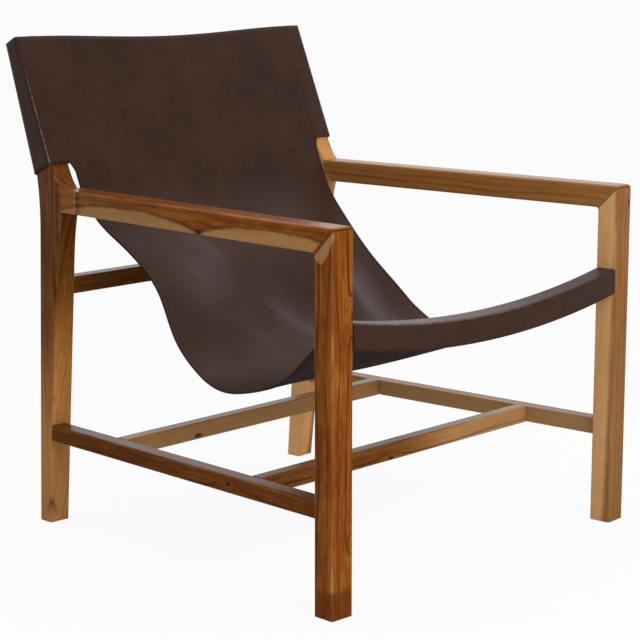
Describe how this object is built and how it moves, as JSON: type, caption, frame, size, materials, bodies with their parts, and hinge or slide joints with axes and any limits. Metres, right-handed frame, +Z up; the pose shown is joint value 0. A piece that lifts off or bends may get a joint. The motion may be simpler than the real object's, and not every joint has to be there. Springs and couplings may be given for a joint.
{
  "type": "leather sling lounge chair",
  "caption": "Low lounge chair with a fixed hardwood frame, level mitred arms and a leather sling hung from raked back posts to a bowed front rail.",
  "frame": {"origin": "on the floor under the middle of the chair's bounding box", "axes": "+Z up, -Y the way the sitter faces, +X to the sitter's left"},
  "size_m": [0.6876, 0.7206, 0.7667],
  "materials": {
    "wood": "satin oiled orange-brown hardwood with paler sapwood streaks",
    "dowel": "plain pale hardwood, hidden in the joints",
    "leather": "smooth dark brown saddle leather with a soft sheen"
  },
  "bodies": {
    "root": {"front_leg_right": "wood", "front_leg_left": "wood", "arm_right": "wood", "arm_left": "wood", "rear_leg_right": "wood", "rear_leg_left": "wood", "side_stretcher_right": "wood", "side_stretcher_left": "wood", "cross_stretcher_front": "wood", "cross_stretcher_rear": "wood", "rear_rail": "wood", "front_rail": "wood", "mitre_dowel_right_outer": "dowel", "mitre_dowel_right_inner": "dowel", "mitre_dowel_left_outer": "dowel", "mitre_dowel_left_inner": "dowel", "arm_dowel_right_lower": "dowel", "arm_dowel_right_upper": "dowel", "arm_dowel_left_lower": "dowel", "arm_dowel_left_upper": "dowel", "sling": "leather"}
  },
  "joints": []
}
